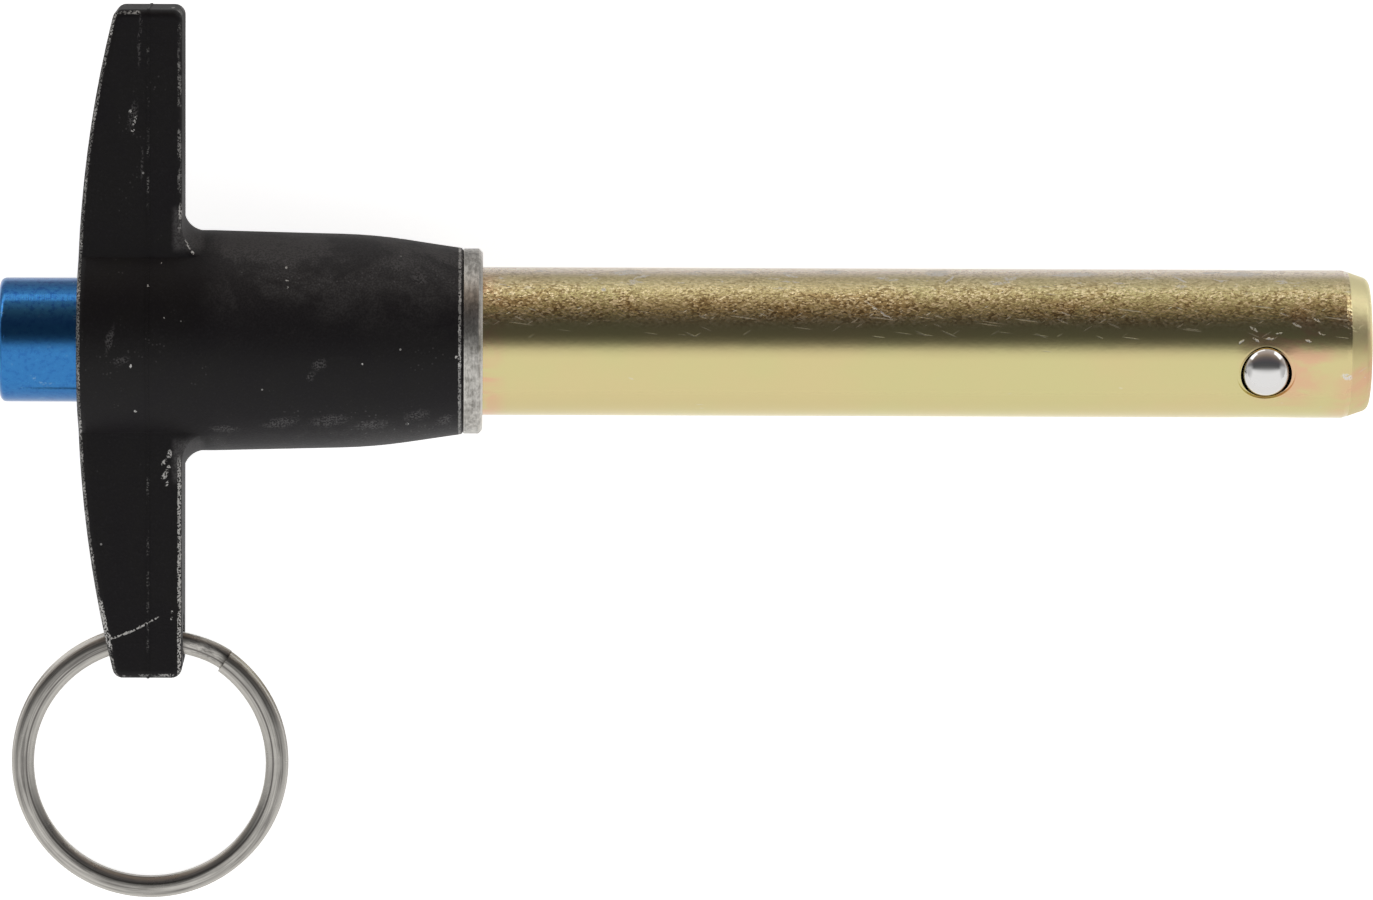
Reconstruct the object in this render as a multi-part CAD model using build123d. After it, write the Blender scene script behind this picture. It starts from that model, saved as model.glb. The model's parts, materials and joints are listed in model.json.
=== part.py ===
from build123d import *

import os
from math import asin, atan2, cos, degrees, hypot, radians, sin, sqrt, tan

# Ball lock pin: a T-handled quick-release pin. X runs along the pin towards its tip, and the origin
# is on the pin's axis at the front face of the collar. Z is up, and the pin lies as it comes to rest:
# rolled about its own axis until the hub and the ring-side arm both touch the surface.
# Everything is in millimetres. Each piece is drawn square to the handle and then rolled.

# Shank
SHANK_DIA = 12.7
GRIP_LENGTH = 76.2
TIP_LEAD_LENGTH = 2.2
TIP_LEAD_ANGLE = 19.0
TIP_ROUND = 0.75
TIP_DOME = 0.25
STUB_LENGTH = 14.0
STUB_CHAMFER = 0.5
COLLAR_SEAT_STEP = 0.2
SEAT_FIT = 0.02

# Locking balls and their holes
BALL_DIA = 4.7625
BALL_SETBACK = 9.35
BALL_PROUD = 1.03
BALL_TURN = 19.8
BALL_SINK = 0.07
BALL_SIDE_CLEARANCE = 0.07
BALL_UNDER_CLEARANCE = 0.08
LIP_HEIGHT = 1.1
LIP_GAP = 0.23
STAKE_GAP = 0.09
STAKE_WIDTH = 0.22
STAKE_DEPTH = 0.17
RELIEF_MARGIN = 0.3
RELIEF_DEPTH = 0.02

# Spindle
STROKE = 4.6
LAND_CLEARANCE = 0.16
ROD_CLEARANCE = 0.1
TAIL_SHOULDER = 0.85
TAIL_SHOULDER_DEPTH = 3.0
PEEN_SPREAD = 0.65
PEEN_DEPTH = 0.7
SPINDLE_PROUD = 0.1
SPINDLE_DOME = 0.2
NECK_SPARE = 0.35

# Push button
BUTTON_DIA = 10.64
BUTTON_PROUD = 6.77
BUTTON_EDGE = 0.55
GUIDE_CLEARANCE = 0.08
FLANGE_THICKNESS = 1.5
FLANGE_CLEARANCE = 0.12
STOP_GAP = 0.05

# Return spring
WIRE_DIA = 0.8
WIRE_SIDES = 8
SPRING_CLEARANCE = 1.22
SPRING_OPEN_TURNS = 3
SPRING_END_GAP = 0.02
SPRING_SEAT_GAP = 0.02

# Collar
COLLAR_STEP = 1.5875
COLLAR_WIDTH = 1.72
COLLAR_CHAMFER = 0.35
COLLAR_BACK_CHAMFER = 0.12

# Handle: hub and barrel
HUB_STEP = 1.5
HANDLE_BACK = 34.5
GUIDE_LENGTH = 6.2
GUIDE_CHAMFER = 0.3
STOP_SHOULDER = 0.57
BARREL_DRAFT = 1.4
DRAFT_START = 23.0
NOSE_STEP = 0.04
NOSE_ANGLE = 8.5
NOSE_BLEND = 45.0
NOSE_EDGE = 0.2

# Handle: arms
ARM_REACH = 28.575
ARM_FRONT = 25.6
ROOT_DEPTH = 11.6
TIP_DEPTH = 11.0
SWEEP_RADIUS = 102.0
FLAT_HALF_HEIGHT = 3.45
TIP_CORNER = 0.9
EDGE_ROUND = 0.7
ROOT_FLARE = 1.9
FLARE_SWEEP = 80.0
PARTING_SETBACK = 2.9
FLASH_HEIGHT = 0.07
FLASH_WIDTH = 0.22

# Eye and split ring
EYE_SETBACK = 2.95
EYE_CLEARANCE = 0.37
EYE_PULL = 0.22
EYE_COUNTERSINK = 0.35
RING_RADIUS = 10.88
RING_LAP_OFFSET = 0.1
RING_WIDTH = 1.85
RING_TURN_THICKNESS = 0.95
RING_TURN_GAP = 0.05
RING_SHOULDER = 0.5
RING_EDGE = 0.25
JOG_START = 76.0
JOG_END = 54.0
JOG_SECTIONS = 7

# Radii of pieces that fit each other, worked outwards from the balls and inwards from the collar.
SHANK_R = SHANK_DIA / 2
BALL_R = BALL_DIA / 2
BALL_CENTRE_R = SHANK_R + BALL_PROUD - BALL_R
BALL_RETRACT = BALL_PROUD + BALL_SINK
BALL_HOLE_R = BALL_R + BALL_SIDE_CLEARANCE
LIP_R = sqrt(BALL_R**2 - (SHANK_R - BALL_CENTRE_R) ** 2) + LIP_GAP
LAND_R = BALL_CENTRE_R - BALL_R - BALL_UNDER_CLEARANCE
NECK_R = LAND_R - BALL_RETRACT
BORE_R = LAND_R + LAND_CLEARANCE
ROD_R = BORE_R - ROD_CLEARANCE
TAIL_R = ROD_R - TAIL_SHOULDER
PEEN_R = TAIL_R + PEEN_SPREAD
BUTTON_R = BUTTON_DIA / 2
GUIDE_R = BUTTON_R + GUIDE_CLEARANCE
CHAMBER_R = GUIDE_R + STOP_SHOULDER
FLANGE_R = CHAMBER_R - FLANGE_CLEARANCE
STUB_R = CHAMBER_R - SEAT_FIT
COLLAR_SEAT_R = SHANK_R + COLLAR_SEAT_STEP
COLLAR_R = SHANK_R + COLLAR_STEP
NOSE_R = COLLAR_R + NOSE_STEP
HUB_R = COLLAR_R + HUB_STEP

# Places along the axis
TIP_X = GRIP_LENGTH
BALL_X = TIP_X - BALL_SETBACK
NOSE_X = -COLLAR_WIDTH
STUB_BACK_X = -STUB_LENGTH
BACK_X = -HANDLE_BACK
ARM_FRONT_X = -ARM_FRONT
PARTING_X = ARM_FRONT_X - PARTING_SETBACK
SHOULDER_X = BACK_X + GUIDE_LENGTH
FLANGE_BACK_X = SHOULDER_X + STOP_GAP
FLANGE_FRONT_X = FLANGE_BACK_X + FLANGE_THICKNESS
TAIL_SHOULDER_X = FLANGE_FRONT_X - TAIL_SHOULDER_DEPTH
BUTTON_BACK_X = BACK_X - BUTTON_PROUD
RELIEF_HALF = BALL_HOLE_R + RELIEF_MARGIN
ROOM = 2 * (ARM_REACH + HUB_R)

# The hub and the rounded lower corner of the ring-side arm's tip touch one plane.
TIP_CORNER_REACH = ARM_REACH - EDGE_ROUND
TIP_CORNER_DROP = TIP_DEPTH / 2 - EDGE_ROUND
CORNER_ANGLE = degrees(atan2(TIP_CORNER_DROP, TIP_CORNER_REACH))
REST_ROLL = degrees(asin((HUB_R - EDGE_ROUND) / hypot(TIP_CORNER_DROP, TIP_CORNER_REACH))) - CORNER_ANGLE
REST_DEPTH = HUB_R + FLASH_HEIGHT

# The ring's wire bows across the arm, so the eye is as wide as the bowed wire needs, and the ring
# hangs pulled away from the hub.
EYE_REACH = ARM_REACH - EYE_SETBACK
RING_BOW = RING_RADIUS - sqrt(RING_RADIUS**2 - PARTING_SETBACK**2)
RING_HALF_THICKNESS = RING_TURN_THICKNESS + RING_TURN_GAP / 2
EYE_R = hypot((RING_WIDTH + RING_BOW) / 2, RING_HALF_THICKNESS) + EYE_CLEARANCE
RING_CENTRE_DROP = RING_RADIUS - RING_BOW / 2 + EYE_PULL

# The ring hangs from the eye and its far edge touches the same plane.
RING_FAR_REACH = RING_CENTRE_DROP + RING_RADIUS + RING_LAP_OFFSET + RING_WIDTH / 2
EYE_HEIGHT = REST_DEPTH - EYE_REACH * sin(radians(REST_ROLL))
RING_FLAT_ANGLE = degrees(atan2(RING_HALF_THICKNESS, RING_FAR_REACH))
RING_DROP = degrees(asin(EYE_HEIGHT / hypot(RING_FAR_REACH, RING_HALF_THICKNESS))) - RING_FLAT_ANGLE


def turned(outline):
    """A solid of revolution about the pin's axis, from an outline in x and radius."""
    return revolve(make_face(outline), Axis.X, 360)


def turned_steps(*corners):
    """A turned solid whose outline is straight from corner to corner."""
    return turned(Polyline(*corners, close=True))


def rod(radius, x_from, x_to):
    """A plain cylinder along the pin's axis."""
    return turned_steps((x_from, 0), (x_from, radius), (x_to, radius), (x_to, 0))


def circle_edges(solid, x, radius):
    """The circular edges of a turned solid at one place along its axis."""
    return [
        edge
        for edge in solid.edges()
        if edge.geom_type == GeomType.CIRCLE
        and abs(edge.arc_center.X - x) < 0.001
        and abs(edge.radius - radius) < 0.001
    ]


# --- Handle -------------------------------------------------------------------------------------


def back_edge_x(reach):
    """Where the swept back of the arms lies at a given reach from the axis."""
    return BACK_X + SWEEP_RADIUS - sqrt(SWEEP_RADIUS**2 - (reach - FLAT_HALF_HEIGHT) ** 2)


def arm_plan():
    """One arm seen square on: flat and then swept back edge, straight front, rounded tip."""
    middle = (FLAT_HALF_HEIGHT + ARM_REACH) / 2
    flat_end = (BACK_X, FLAT_HALF_HEIGHT)
    tip_back = (back_edge_x(ARM_REACH), ARM_REACH)
    outline = ThreePointArc(flat_end, (back_edge_x(middle), middle), tip_back)
    outline += Polyline(tip_back, (ARM_FRONT_X, ARM_REACH), (ARM_FRONT_X, 0), (BACK_X, 0), flat_end)
    plan = make_face(outline)
    tips = [corner for corner in plan.vertices() if abs(corner.Y - ARM_REACH) < 0.001]
    return fillet(tips, TIP_CORNER)


def root_flare():
    """A turned fillet between the arm's front and the barrel, which dives into the barrel."""
    end = radians(FLARE_SWEEP)
    centre_x = ARM_FRONT_X + ROOT_FLARE
    centre_r = HUB_R + ROOT_FLARE * sin(end)

    def on_arc(angle):
        return (centre_x - ROOT_FLARE * cos(angle), centre_r - ROOT_FLARE * sin(angle))

    foot = on_arc(end)
    buried = (foot[0] + ROOT_FLARE * sin(end), foot[1] - ROOT_FLARE * cos(end))
    inside_r = HUB_R / 3
    outline = ThreePointArc(on_arc(0), on_arc(end / 2), foot)
    outline += Polyline(
        foot,
        buried,
        (buried[0], inside_r),
        (ARM_FRONT_X - 1, inside_r),
        (ARM_FRONT_X - 1, centre_r),
        on_arc(0),
    )
    return turned(outline)


def arm():
    """The upper arm: thinner towards its tip, all its outer edges rounded."""
    inner = HUB_R / 4
    thinning = (ROOT_DEPTH - TIP_DEPTH) / 2 / ARM_REACH

    def half_depth(reach):
        return ROOT_DEPTH / 2 - thinning * reach

    past_tip = ARM_REACH + 1
    wedge_end = Polyline(
        (inner, half_depth(inner)),
        (past_tip, half_depth(past_tip)),
        (past_tip, -half_depth(past_tip)),
        (inner, -half_depth(inner)),
        close=True,
    )
    wedge = extrude(Plane.YZ.offset(BACK_X - 1) * make_face(wedge_end), HANDLE_BACK)
    blank = (extrude(arm_plan(), HUB_R, both=True) + root_flare()) & wedge
    outer = [
        edge
        for edge in blank.edges()
        if abs(edge.center().Z) > TIP_DEPTH / 4 and edge.center().Y > inner + 0.1
    ]
    return fillet(outer, EDGE_ROUND)


def barrel():
    """Hub and barrel: a plain hub, a drafted barrel and a nose that narrows to the collar."""
    draft = tan(radians(BARREL_DRAFT))
    nose = tan(radians(NOSE_ANGLE))
    draft_x = -DRAFT_START
    knee_x = (HUB_R + draft * draft_x - NOSE_R - nose * NOSE_X) / (draft - nose)
    knee = (knee_x, HUB_R - draft * (knee_x - draft_x))
    outline = make_face(
        Polyline(
            (BACK_X - 1, 0),
            (BACK_X - 1, HUB_R),
            (draft_x, HUB_R),
            knee,
            (NOSE_X, NOSE_R),
            (NOSE_X, 0),
            close=True,
        )
    )
    corner = [point for point in outline.vertices() if abs(point.X - knee_x) < 0.001]
    return revolve(fillet(corner, NOSE_BLEND), Axis.X, 360)


def barrel_with_swept_back():
    """The barrel trimmed to the same swept back as the arms, its back edge rounded."""
    upper = arm_plan() + Pos(ARM_FRONT_X + ROOM / 2 - 1, ARM_REACH / 2) * Rectangle(ROOM, ARM_REACH)
    envelope = extrude(upper + mirror(upper, Plane.XZ), ROOM, both=True)
    trimmed = barrel() & envelope
    rim = [
        edge
        for edge in trimmed.edges()
        if edge.center().X < BACK_X + 1
        and abs(hypot(edge.position_at(0.3).Y, edge.position_at(0.3).Z) - HUB_R) < 0.01
    ]
    trimmed = fillet(rim, EDGE_ROUND)
    return fillet(circle_edges(trimmed, NOSE_X, NOSE_R), NOSE_EDGE)


def flash_line(casting):
    """The low ridge that the two die halves leave all round the casting."""
    ridge = offset(section(casting, Plane.YZ.offset(PARTING_X)), FLASH_HEIGHT)
    return Pos(-FLASH_WIDTH / 2, 0, 0) * extrude(ridge, FLASH_WIDTH)


def handle_bores():
    """Guide bore for the button behind, and the chamber for spring and stub in front."""
    mouth_r = GUIDE_R + GUIDE_CHAMFER
    return turned_steps(
        (BACK_X - 1, 0),
        (BACK_X - 1, mouth_r),
        (BACK_X, mouth_r),
        (BACK_X + GUIDE_CHAMFER, GUIDE_R),
        (SHOULDER_X, GUIDE_R),
        (SHOULDER_X, CHAMBER_R),
        (NOSE_X + 1, CHAMBER_R),
        (NOSE_X + 1, 0),
    )


def eye_hole():
    """The hole along X through the lower arm, countersunk at both faces."""
    front = ARM_FRONT_X
    back = back_edge_x(EYE_REACH)
    wide = EYE_R + EYE_COUNTERSINK
    hole = turned_steps(
        (back - 1, 0),
        (back - 1, wide + 1),
        (back + EYE_COUNTERSINK, EYE_R),
        (front - EYE_COUNTERSINK, EYE_R),
        (front + 1, wide + 1),
        (front + 1, 0),
    )
    return Pos(0, -EYE_REACH, 0) * hole


def handle():
    """The cast T-handle."""
    upper = arm()
    casting = barrel_with_swept_back() + upper + mirror(upper, Plane.XZ)
    casting += flash_line(casting)
    return casting - handle_bores() - eye_hole()


# --- Collar and shank ---------------------------------------------------------------------------


def collar():
    """The steel collar, pressed on the shank's seat and against the handle's nose."""
    inner = COLLAR_SEAT_R + SEAT_FIT
    return turned_steps(
        (NOSE_X, inner),
        (NOSE_X, COLLAR_R - COLLAR_BACK_CHAMFER),
        (NOSE_X + COLLAR_BACK_CHAMFER, COLLAR_R),
        (-COLLAR_CHAMFER, COLLAR_R),
        (0, COLLAR_R - COLLAR_CHAMFER),
        (0, inner),
    )


def towards_ball(turn):
    """A plane on the pin's axis at the balls, whose normal points at a ball."""
    angle = radians(turn)
    return Plane(origin=(BALL_X, 0, 0), x_dir=(1, 0, 0), z_dir=(0, -sin(angle), cos(angle)))


def ball_hole(turn):
    """A radial hole that narrows to a staked lip at the shank's surface, with its stake mark."""
    lip_start = SHANK_R - LIP_HEIGHT
    past = SHANK_R + 1
    past_lip_r = LIP_R - (BALL_HOLE_R - LIP_R) * (past - SHANK_R) / LIP_HEIGHT
    outline = Polyline(
        (0, 0),
        (BALL_HOLE_R, 0),
        (BALL_HOLE_R, lip_start),
        (past_lip_r, past),
        (0, past),
        close=True,
    )
    hole = revolve(Plane.XZ * make_face(outline), Axis.Z, 360)
    stake_r = LIP_R + STAKE_GAP
    standing = (Align.CENTER, Align.CENTER, Align.MIN)
    groove = Cylinder(stake_r + STAKE_WIDTH, past, align=standing)
    groove -= Cylinder(stake_r, past, align=standing)
    place = towards_ball(turn)
    skin = rod(past, BALL_X - BALL_DIA, BALL_X + BALL_DIA)
    skin -= rod(SHANK_R - STAKE_DEPTH, BALL_X - BALL_DIA - 1, BALL_X + BALL_DIA + 1)
    return place * hole + ((place * groove) & skin)


def shank():
    """The plated shank: stub for the handle, collar seat, grip, lead and the two ball holes.

    The wall dips by a hair's breadth at the balls, so that metal raised by staking stays below the
    grip. The grip proper ends where the dip begins.
    """
    lead_drop = TIP_LEAD_LENGTH * tan(radians(TIP_LEAD_ANGLE))
    face_x = TIP_X - TIP_DOME
    body = turned_steps(
        (STUB_BACK_X, BORE_R),
        (STUB_BACK_X, STUB_R - STUB_CHAMFER),
        (STUB_BACK_X + STUB_CHAMFER, STUB_R),
        (NOSE_X, STUB_R),
        (NOSE_X, COLLAR_SEAT_R),
        (0, COLLAR_SEAT_R),
        (0, SHANK_R),
        (BALL_X - RELIEF_HALF, SHANK_R),
        (BALL_X, SHANK_R - RELIEF_DEPTH),
        (BALL_X + RELIEF_HALF, SHANK_R),
        (face_x - TIP_LEAD_LENGTH, SHANK_R),
        (face_x, SHANK_R - lead_drop),
        (TIP_X, BORE_R),
    )
    body = fillet(circle_edges(body, face_x, SHANK_R - lead_drop), TIP_ROUND)
    return body - ball_hole(BALL_TURN) - ball_hole(BALL_TURN + 180)


def ball(turn):
    """One locking ball in the locked place."""
    return towards_ball(turn) * Pos(0, 0, BALL_CENTRE_R) * Sphere(BALL_R)


# --- Plunger ------------------------------------------------------------------------------------


def spindle():
    """The rod that holds the balls out, and lets them in over its neck when it is pressed."""
    rise = BALL_RETRACT / STROKE
    slope = atan2(BALL_RETRACT, STROKE)
    ramp_front_x = BALL_X + (BALL_R + BALL_UNDER_CLEARANCE) * (1 / cos(slope) - 1) / rise
    ramp_back_x = ramp_front_x - STROKE
    ball_reach = sqrt(BALL_R**2 - (BALL_CENTRE_R - BALL_RETRACT - ROD_R) ** 2)
    neck_back_x = BALL_X - STROKE - ball_reach - NECK_SPARE
    end_x = TIP_X + SPINDLE_PROUD
    return turned_steps(
        (BUTTON_BACK_X, 0),
        (BUTTON_BACK_X, PEEN_R - SEAT_FIT),
        (BUTTON_BACK_X + PEEN_DEPTH, TAIL_R),
        (TAIL_SHOULDER_X, TAIL_R),
        (TAIL_SHOULDER_X, ROD_R),
        (neck_back_x, ROD_R),
        (neck_back_x + (ROD_R - NECK_R), NECK_R),
        (ramp_back_x, NECK_R),
        (ramp_front_x, LAND_R),
        (end_x - SPINDLE_DOME, LAND_R),
        (end_x, LAND_R / 2),
        (end_x, 0),
    )


def button():
    """The push button: guided in the hub, kept in by its flange, peened to the spindle."""
    body = turned_steps(
        (BUTTON_BACK_X, PEEN_R),
        (BUTTON_BACK_X, BUTTON_R),
        (FLANGE_BACK_X, BUTTON_R),
        (FLANGE_BACK_X, FLANGE_R),
        (FLANGE_FRONT_X, FLANGE_R),
        (FLANGE_FRONT_X, ROD_R + SEAT_FIT),
        (TAIL_SHOULDER_X, ROD_R + SEAT_FIT),
        (TAIL_SHOULDER_X, TAIL_R + SEAT_FIT),
        (BUTTON_BACK_X + PEEN_DEPTH, TAIL_R + SEAT_FIT),
    )
    return fillet(circle_edges(body, BUTTON_BACK_X, BUTTON_R), BUTTON_EDGE)


def half_coil(x, rise, side):
    """Half a turn of the spring's wire, tilted so that it climbs along the axis by its rise.

    The wire is a fine polygon in section, because its many turns would need too many facets.
    """
    coil_r = CHAMBER_R - SPRING_CLEARANCE - WIRE_DIA / 2
    wire = RegularPolygon(WIRE_DIA / 2, WIRE_SIDES)
    section = Plane(origin=(x, side * coil_r, 0), z_dir=(0, 0, side)) * wire
    tilted = Axis((x + rise / 2, 0, 0), (coil_r, side * rise / 2, 0))
    return revolve(section, tilted, 180)


def return_spring():
    """The wire spring between the button's flange and the shank's stub.

    Its last turn at each end is closed on the next one and ground flat.
    """
    back_x = FLANGE_FRONT_X + SPRING_SEAT_GAP
    front_x = STUB_BACK_X - SPRING_SEAT_GAP
    closed_rise = (WIRE_DIA + SPRING_END_GAP) / 2
    open_rise = (front_x - back_x - 4 * closed_rise) / (2 * SPRING_OPEN_TURNS)
    rises = [closed_rise] * 2 + [open_rise] * (2 * SPRING_OPEN_TURNS) + [closed_rise] * 2
    coil = half_coil(back_x, rises[0], 1)
    reached = back_x + rises[0]
    side = -1
    for rise in rises[1:]:
        coil += half_coil(reached, rise, side)
        reached += rise
        side = -side
    return coil & rod(CHAMBER_R, back_x, front_x)


# --- Split ring ---------------------------------------------------------------------------------


def wire_section(radius, level):
    """The ring wire's half section, its flat towards the other turn; level is +1 or -1."""
    half = RING_WIDTH / 2
    flat = RING_TURN_GAP / 2
    crown = flat + RING_TURN_THICKNESS
    shoulder = flat + RING_SHOULDER
    outline = Polyline(
        (radius - half, shoulder),
        (radius - half, flat),
        (radius + half, flat),
        (radius + half, shoulder),
    )
    outline += ThreePointArc((radius + half, shoulder), (radius, crown), (radius - half, shoulder))
    face = make_face(outline)
    flat_corners = [corner for corner in face.vertices() if corner.Y < shoulder]
    face = chamfer(flat_corners, RING_EDGE)
    crown_corners = [corner for corner in face.vertices() if corner.Y > shoulder - RING_EDGE / 2]
    face = fillet(crown_corners, RING_EDGE)
    return face if level > 0 else mirror(face, Plane.XZ)


def ring_turn(radius, level, start, end):
    """Most of one turn of the ring, from one angle round to another."""
    face = Plane.XZ * wire_section(radius, level)
    return Rot(0, 0, start) * revolve(face, Axis.Z, end - start)


def split_ring():
    """Two flat turns of one wire, joined by a jog and open at both ends."""
    far_way_round = JOG_START - 360
    upper = ring_turn(RING_RADIUS, 1, far_way_round, JOG_END)
    lower = ring_turn(RING_RADIUS + RING_LAP_OFFSET, -1, far_way_round, JOG_END)
    drop = RING_TURN_THICKNESS + RING_TURN_GAP
    sections = []
    for step in range(JOG_SECTIONS):
        share = step / (JOG_SECTIONS - 1)
        eased = share * share * (3 - 2 * share)
        angle = JOG_START + share * (JOG_END - JOG_START)
        radius = RING_RADIUS + share * RING_LAP_OFFSET
        face = Plane.XZ * wire_section(radius, 1)
        sections.append(Rot(0, 0, angle) * Pos(0, 0, -eased * drop) * face)
    return upper + lower + loft(sections)


def hung_ring():
    """The ring in the eye, swung down until its far edge lies on the surface."""
    flat_ring = Pos(0, -RING_CENTRE_DROP, 0) * split_ring()
    return Pos(PARTING_X, -EYE_REACH, 0) * Rot(RING_DROP - REST_ROLL, 0, 0) * flat_ring


def main():
    pieces = {
        "handle": handle(),
        "collar": collar(),
        "shank": shank(),
        "ball_near": ball(BALL_TURN),
        "ball_far": ball(BALL_TURN + 180),
        "spindle": spindle(),
        "button": button(),
        "return_spring": return_spring(),
        "split_ring": hung_ring(),
    }
    os.makedirs("parts", exist_ok=True)
    for name, piece in pieces.items():
        export_step(Rot(REST_ROLL, 0, 0) * piece, f"parts/{name}.step")
    print(f"rest roll {REST_ROLL:.3f}, ring drop {RING_DROP:.3f}, surface at z {-REST_DEPTH:.3f}")


main()
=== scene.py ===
"""Finishes and studio for a ball lock pin: a T-handled quick-release pin with a sprung button.

X runs along the pin to its tip, Z is up, and the origin is on the pin's axis at the collar's
front face. Lengths are in metres.
"""

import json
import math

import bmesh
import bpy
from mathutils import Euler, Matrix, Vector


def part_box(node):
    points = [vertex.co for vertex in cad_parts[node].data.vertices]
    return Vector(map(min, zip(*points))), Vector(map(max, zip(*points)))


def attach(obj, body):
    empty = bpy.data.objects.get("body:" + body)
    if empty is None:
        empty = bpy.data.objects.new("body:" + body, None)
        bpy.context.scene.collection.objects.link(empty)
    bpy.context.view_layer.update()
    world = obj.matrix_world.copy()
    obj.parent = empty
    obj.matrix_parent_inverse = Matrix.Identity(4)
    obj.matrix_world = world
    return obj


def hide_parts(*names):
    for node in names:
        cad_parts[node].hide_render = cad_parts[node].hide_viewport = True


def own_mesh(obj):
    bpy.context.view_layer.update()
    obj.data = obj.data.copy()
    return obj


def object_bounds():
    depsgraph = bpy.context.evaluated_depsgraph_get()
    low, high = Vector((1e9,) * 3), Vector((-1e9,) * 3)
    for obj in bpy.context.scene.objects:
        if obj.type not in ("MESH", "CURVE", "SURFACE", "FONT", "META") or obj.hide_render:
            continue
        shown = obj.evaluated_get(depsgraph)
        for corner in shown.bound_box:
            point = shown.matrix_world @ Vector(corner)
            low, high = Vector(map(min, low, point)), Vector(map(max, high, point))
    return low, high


bl_info = {
    "name": "Ball Lock Pin Finishes",
    "version": (1, 0, 0),
    "blender": (4, 5, 0),
    "location": "View3D > Sidebar > Lock Pin",
    "description": "Gives a ball lock pin its cast, plated, anodised and ground finishes",
    "category": "Object",
}

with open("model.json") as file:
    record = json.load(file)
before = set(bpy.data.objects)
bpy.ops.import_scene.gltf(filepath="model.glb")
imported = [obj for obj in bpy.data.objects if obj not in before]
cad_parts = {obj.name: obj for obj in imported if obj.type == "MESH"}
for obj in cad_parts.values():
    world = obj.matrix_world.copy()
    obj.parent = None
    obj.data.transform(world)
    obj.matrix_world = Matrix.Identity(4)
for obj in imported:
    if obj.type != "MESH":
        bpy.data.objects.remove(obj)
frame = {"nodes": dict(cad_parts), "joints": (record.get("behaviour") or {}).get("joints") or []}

LOADED_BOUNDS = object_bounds()
MM = 0.001
FLOOR_Z = LOADED_BOUNDS[0].z

# The handle's own outline, which its worn edges and painted edge highlights follow
HANDLE_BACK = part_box("handle")[0].x
ARM_FRONT = -25.6 * MM
ARM_REACH = 28.575 * MM
ARM_SWEEP = 102 * MM
ARM_FLAT = 3.45 * MM
PARTING_LINE = -28.5 * MM
BARREL_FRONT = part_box("handle")[1].x

# The shank
COLLAR_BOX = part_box("collar")
BALL_PLACE = sum(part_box("ball_near"), Vector()) / 2
TIP = LOADED_BOUNDS[1].x
LEAD_LENGTH = 2.2 * MM
LEAD_START = TIP - LEAD_LENGTH

# The split ring
RING_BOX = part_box("split_ring")
RING_OUTSIDE = (RING_BOX[1].x - RING_BOX[0].x) / 2
RING_WIRE_WIDTH = 1.92 * MM
RING_INSIDE = RING_OUTSIDE - RING_WIRE_WIDTH

# The return spring's loose triangles are merged where they are this close
MERGE_DISTANCE = 0.001 * MM

# The point on the floor's side of the pin that the camera looks at
VIEW_TARGET = Vector((17.5, -9.29, 0)) * MM
SENSOR_WIDTH = 36.0
VIEW_END = 20


def joint_named(name):
    """The record's row for one joint."""
    return next(joint for joint in frame["joints"] if joint["name"] == name)


def handle_roll():
    """How far the handle is rolled about X as it lies, in radians."""
    eye = joint_named("ring_swing")["pos_m"]
    return math.atan2(-eye[2], -eye[1])


# --- Shader maths -------------------------------------------------------------------------------


class Socket:
    """A number in a shader, wrapped so that arithmetic on it adds Math nodes."""

    def __init__(self, shader, link):
        self.shader = shader
        self.link = link

    def maths(self, operation, *values):
        return self.shader.node("ShaderNodeMath", {"operation": operation}, dict(enumerate(values)))

    def __add__(self, other):
        return self.maths("ADD", self, other)

    __radd__ = __add__

    def __sub__(self, other):
        return self.maths("SUBTRACT", self, other)

    def __rsub__(self, other):
        return self.maths("SUBTRACT", other, self)

    def __mul__(self, other):
        return self.maths("MULTIPLY", self, other)

    __rmul__ = __mul__

    def __truediv__(self, other):
        return self.maths("DIVIDE", self, other)

    def __pow__(self, other):
        return self.maths("POWER", self, other)

    def __abs__(self):
        return self.maths("ABSOLUTE", self)

    def least(self, other):
        return self.maths("MINIMUM", self, other)

    def most(self, other):
        return self.maths("MAXIMUM", self, other)

    def angle_from(self, other):
        """The angle whose tangent is this over the other, in radians."""
        return self.maths("ARCTAN2", self, other)

    def length_with(self, other):
        """The hypotenuse of this and the other."""
        return (self * self + other * other) ** 0.5

    def ramp(self, low, high):
        """0 up to low, 1 from high on and a smooth rise between; low may be the larger."""
        settings = {"interpolation_type": "SMOOTHSTEP"}
        if low <= high:
            return self.shader.node("ShaderNodeMapRange", settings, {0: self, 1: low, 2: high})
        return 1 - self.shader.node("ShaderNodeMapRange", settings, {0: self, 1: high, 2: low})

    def band(self, low, high, soft):
        """1 from low to high, fading to 0 over soft on both sides."""
        return self.ramp(low - soft, low) * self.ramp(high + soft, high)


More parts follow.
